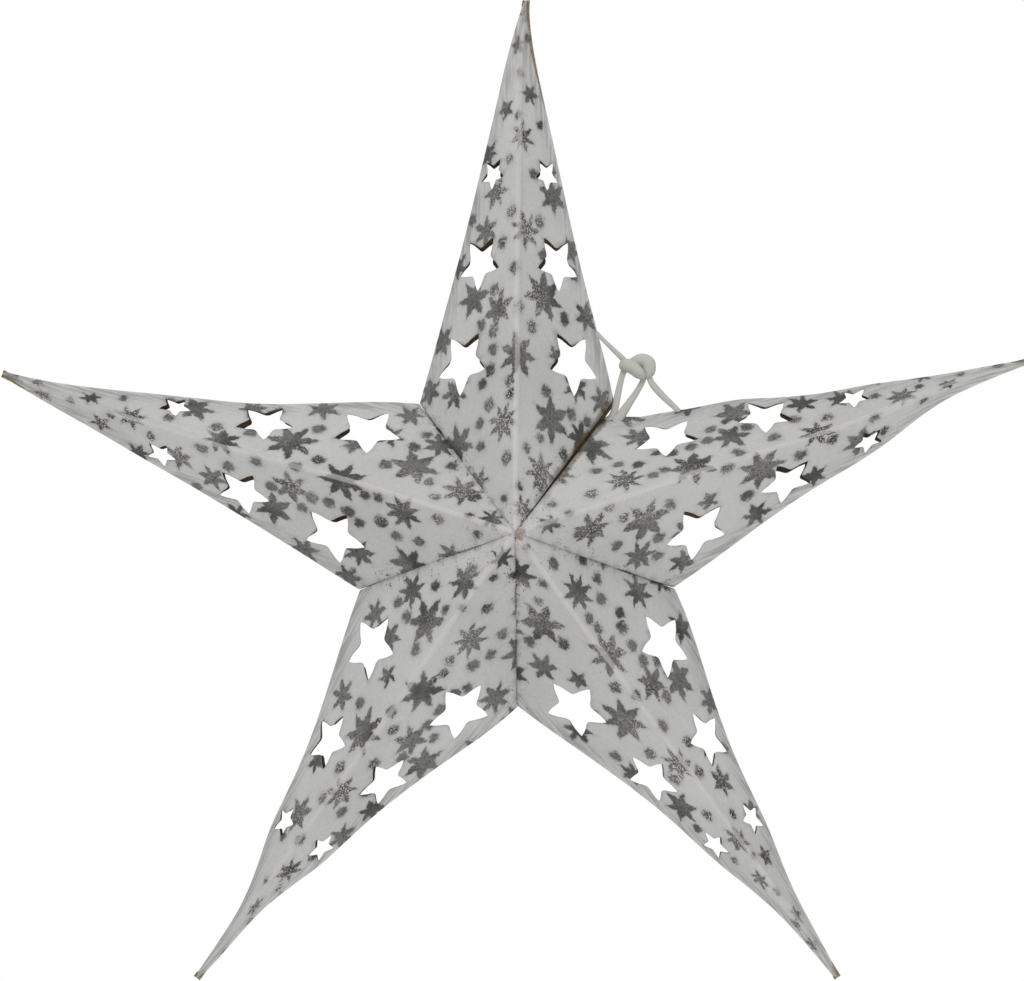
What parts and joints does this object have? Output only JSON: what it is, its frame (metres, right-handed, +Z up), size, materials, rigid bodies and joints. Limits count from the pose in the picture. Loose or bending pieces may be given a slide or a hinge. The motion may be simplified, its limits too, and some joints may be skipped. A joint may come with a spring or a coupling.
{
  "type": "paper star lantern",
  "caption": "Folding five-pointed paper star lantern with star-shaped cut-outs, a silver snowflake print and a knotted cord tie at the open seam.",
  "frame": {"origin": "middle of the star, half-way between its front peak and its back peak, in the plane of the five tips", "axes": "+Z up along the top arm, -Y towards the viewer through the front peak, +X to the right as seen from the front"},
  "size_m": [0.598, 0.1474, 0.5688],
  "materials": {
    "printed_paper": "matte",
    "cotton_cord": "matte"
  },
  "bodies": {
    "top_front_cw": {"top_front_cw": "printed_paper", "tie_cord_top_outer": "cotton_cord", "tie_cord_top_inner": "cotton_cord", "tie_knot": "cotton_cord"},
    "top_back_cw": {"top_back_cw": "printed_paper"},
    "top_front_ccw": {"top_front_ccw": "printed_paper"},
    "top_back_ccw": {"top_back_ccw": "printed_paper"},
    "left_front_cw": {"left_front_cw": "printed_paper"},
    "left_back_cw": {"left_back_cw": "printed_paper"},
    "left_front_ccw": {"left_front_ccw": "printed_paper"},
    "left_back_ccw": {"left_back_ccw": "printed_paper"},
    "lower_left_front_cw": {"lower_left_front_cw": "printed_paper"},
    "lower_left_back_cw": {"lower_left_back_cw": "printed_paper"},
    "lower_left_front_ccw": {"lower_left_front_ccw": "printed_paper"},
    "lower_left_back_ccw": {"lower_left_back_ccw": "printed_paper"},
    "lower_right_front_cw": {"lower_right_front_cw": "printed_paper"},
    "lower_right_back_cw": {"lower_right_back_cw": "printed_paper"},
    "lower_right_front_ccw": {"lower_right_front_ccw": "printed_paper"},
    "lower_right_back_ccw": {"lower_right_back_ccw": "printed_paper"},
    "right_front_cw": {"right_front_cw": "printed_paper"},
    "right_back_cw": {"right_back_cw": "printed_paper"},
    "right_front_ccw": {"right_front_ccw": "printed_paper", "tie_cord_right_inner": "cotton_cord", "tie_cord_right_outer": "cotton_cord"},
    "right_back_ccw": {"right_back_ccw": "printed_paper"}
  },
  "joints": [
    {"name": "fold_top_cw_edge", "type": "hinge", "parent": "top_front_cw", "child": "top_back_cw", "pos_m": [0.05702, 0, 0.07847], "axis": [0.2316, 0, -0.9728], "range_deg": [0, 85.93]},
    {"name": "fold_top_ridge", "type": "hinge", "parent": "top_front_cw", "child": "top_front_ccw", "pos_m": [0, -0.075, 0], "axis": [0, -0.2296, -0.9733], "range_deg": [0, 87.89]},
    {"name": "fold_top_ccw_edge", "type": "hinge", "parent": "top_front_ccw", "child": "top_back_ccw", "pos_m": [-0.05702, 0, 0.07847], "axis": [0.2316, 0, 0.9728], "range_deg": [0, 85.93]},
    {"name": "fold_top_left_valley", "type": "hinge", "parent": "top_front_ccw", "child": "left_front_cw", "pos_m": [0, -0.07571, 0], "axis": [-0.465, 0.6117, 0.64], "range_deg": [0, 118.78]},
    {"name": "fold_left_cw_edge", "type": "hinge", "parent": "left_front_cw", "child": "left_back_cw", "pos_m": [-0.05702, 0, 0.07847], "axis": [0.9968, 0, -0.0804], "range_deg": [0, 85.93]},
    {"name": "fold_left_ridge", "type": "hinge", "parent": "left_front_cw", "child": "left_front_ccw", "pos_m": [0, -0.075, 0], "axis": [0.9257, -0.2296, -0.3008], "range_deg": [0, 87.89]},
    {"name": "fold_left_ccw_edge", "type": "hinge", "parent": "left_front_ccw", "child": "left_back_ccw", "pos_m": [-0.09225, 0, -0.02997], "axis": [-0.8536, 0, 0.5208], "range_deg": [0, 85.93]},
    {"name": "fold_left_lower_left_valley", "type": "hinge", "parent": "left_front_ccw", "child": "lower_left_front_cw", "pos_m": [0, -0.07571, 0], "axis": [-0.7524, 0.6117, -0.2445], "range_deg": [0, 118.78]},
    {"name": "fold_lower_left_cw_edge", "type": "hinge", "parent": "lower_left_front_cw", "child": "lower_left_back_cw", "pos_m": [-0.09225, 0, -0.02997], "axis": [0.3845, 0, 0.9231], "range_deg": [0, 85.93]},
    {"name": "fold_lower_left_ridge", "type": "hinge", "parent": "lower_left_front_cw", "child": "lower_left_front_ccw", "pos_m": [0, -0.075, 0], "axis": [0.5721, -0.2296, 0.7874], "range_deg": [0, 87.89]},
    {"name": "fold_lower_left_ccw_edge", "type": "hinge", "parent": "lower_left_front_ccw", "child": "lower_left_back_ccw", "pos_m": [0, 0, -0.097], "axis": [-0.7591, 0, -0.6509], "range_deg": [0, 85.93]},
    {"name": "fold_lower_left_lower_right_valley", "type": "hinge", "parent": "lower_left_front_ccw", "child": "lower_right_front_cw", "pos_m": [0, -0.07571, 0], "axis": [0, 0.6117, -0.7911], "range_deg": [0, 118.78]},
    {"name": "fold_lower_right_cw_edge", "type": "hinge", "parent": "lower_right_front_cw", "child": "lower_right_back_cw", "pos_m": [0, 0, -0.097], "axis": [-0.7591, 0, 0.6509], "range_deg": [0, 85.93]},
    {"name": "fold_lower_right_ridge", "type": "hinge", "parent": "lower_right_front_cw", "child": "lower_right_front_ccw", "pos_m": [0, -0.075, 0], "axis": [-0.5721, -0.2296, 0.7874], "range_deg": [0, 87.89]},
    {"name": "fold_lower_right_ccw_edge", "type": "hinge", "parent": "lower_right_front_ccw", "child": "lower_right_back_ccw", "pos_m": [0.09225, 0, -0.02997], "axis": [0.3845, 0, -0.9231], "range_deg": [0, 85.93]},
    {"name": "fold_lower_right_right_valley", "type": "hinge", "parent": "lower_right_front_ccw", "child": "right_front_cw", "pos_m": [0, -0.07571, 0], "axis": [0.7524, 0.6117, -0.2445], "range_deg": [0, 118.78]},
    {"name": "fold_right_cw_edge", "type": "hinge", "parent": "right_front_cw", "child": "right_back_cw", "pos_m": [0.09225, 0, -0.02997], "axis": [-0.8536, 0, -0.5208], "range_deg": [0, 85.93]},
    {"name": "fold_right_ridge", "type": "hinge", "parent": "right_front_cw", "child": "right_front_ccw", "pos_m": [0, -0.075, 0], "axis": [-0.9257, -0.2296, -0.3008], "range_deg": [0, 87.89]},
    {"name": "fold_right_ccw_edge", "type": "hinge", "parent": "right_front_ccw", "child": "right_back_ccw", "pos_m": [0.05702, 0, 0.07847], "axis": [0.9968, 0, 0.0804], "range_deg": [0, 85.93]}
  ],
  "couplings": [
    {"joint": "fold_top_cw_edge", "follows": "fold_top_ridge", "ratio": 0.9777},
    {"joint": "fold_top_ccw_edge", "follows": "fold_top_ridge", "ratio": 0.9777},
    {"joint": "fold_top_left_valley", "follows": "fold_top_ridge", "ratio": 1.3515},
    {"joint": "fold_left_cw_edge", "follows": "fold_top_ridge", "ratio": 0.9777},
    {"joint": "fold_left_ridge", "follows": "fold_top_ridge", "ratio": 1},
    {"joint": "fold_left_ccw_edge", "follows": "fold_top_ridge", "ratio": 0.9777},
    {"joint": "fold_left_lower_left_valley", "follows": "fold_top_ridge", "ratio": 1.3515},
    {"joint": "fold_lower_left_cw_edge", "follows": "fold_top_ridge", "ratio": 0.9777},
    {"joint": "fold_lower_left_ridge", "follows": "fold_top_ridge", "ratio": 1},
    {"joint": "fold_lower_left_ccw_edge", "follows": "fold_top_ridge", "ratio": 0.9777},
    {"joint": "fold_lower_left_lower_right_valley", "follows": "fold_top_ridge", "ratio": 1.3515},
    {"joint": "fold_lower_right_cw_edge", "follows": "fold_top_ridge", "ratio": 0.9777},
    {"joint": "fold_lower_right_ridge", "follows": "fold_top_ridge", "ratio": 1},
    {"joint": "fold_lower_right_ccw_edge", "follows": "fold_top_ridge", "ratio": 0.9777},
    {"joint": "fold_lower_right_right_valley", "follows": "fold_top_ridge", "ratio": 1.3515},
    {"joint": "fold_right_cw_edge", "follows": "fold_top_ridge", "ratio": 0.9777},
    {"joint": "fold_right_ridge", "follows": "fold_top_ridge", "ratio": 1},
    {"joint": "fold_right_ccw_edge", "follows": "fold_top_ridge", "ratio": 0.9777}
  ]
}
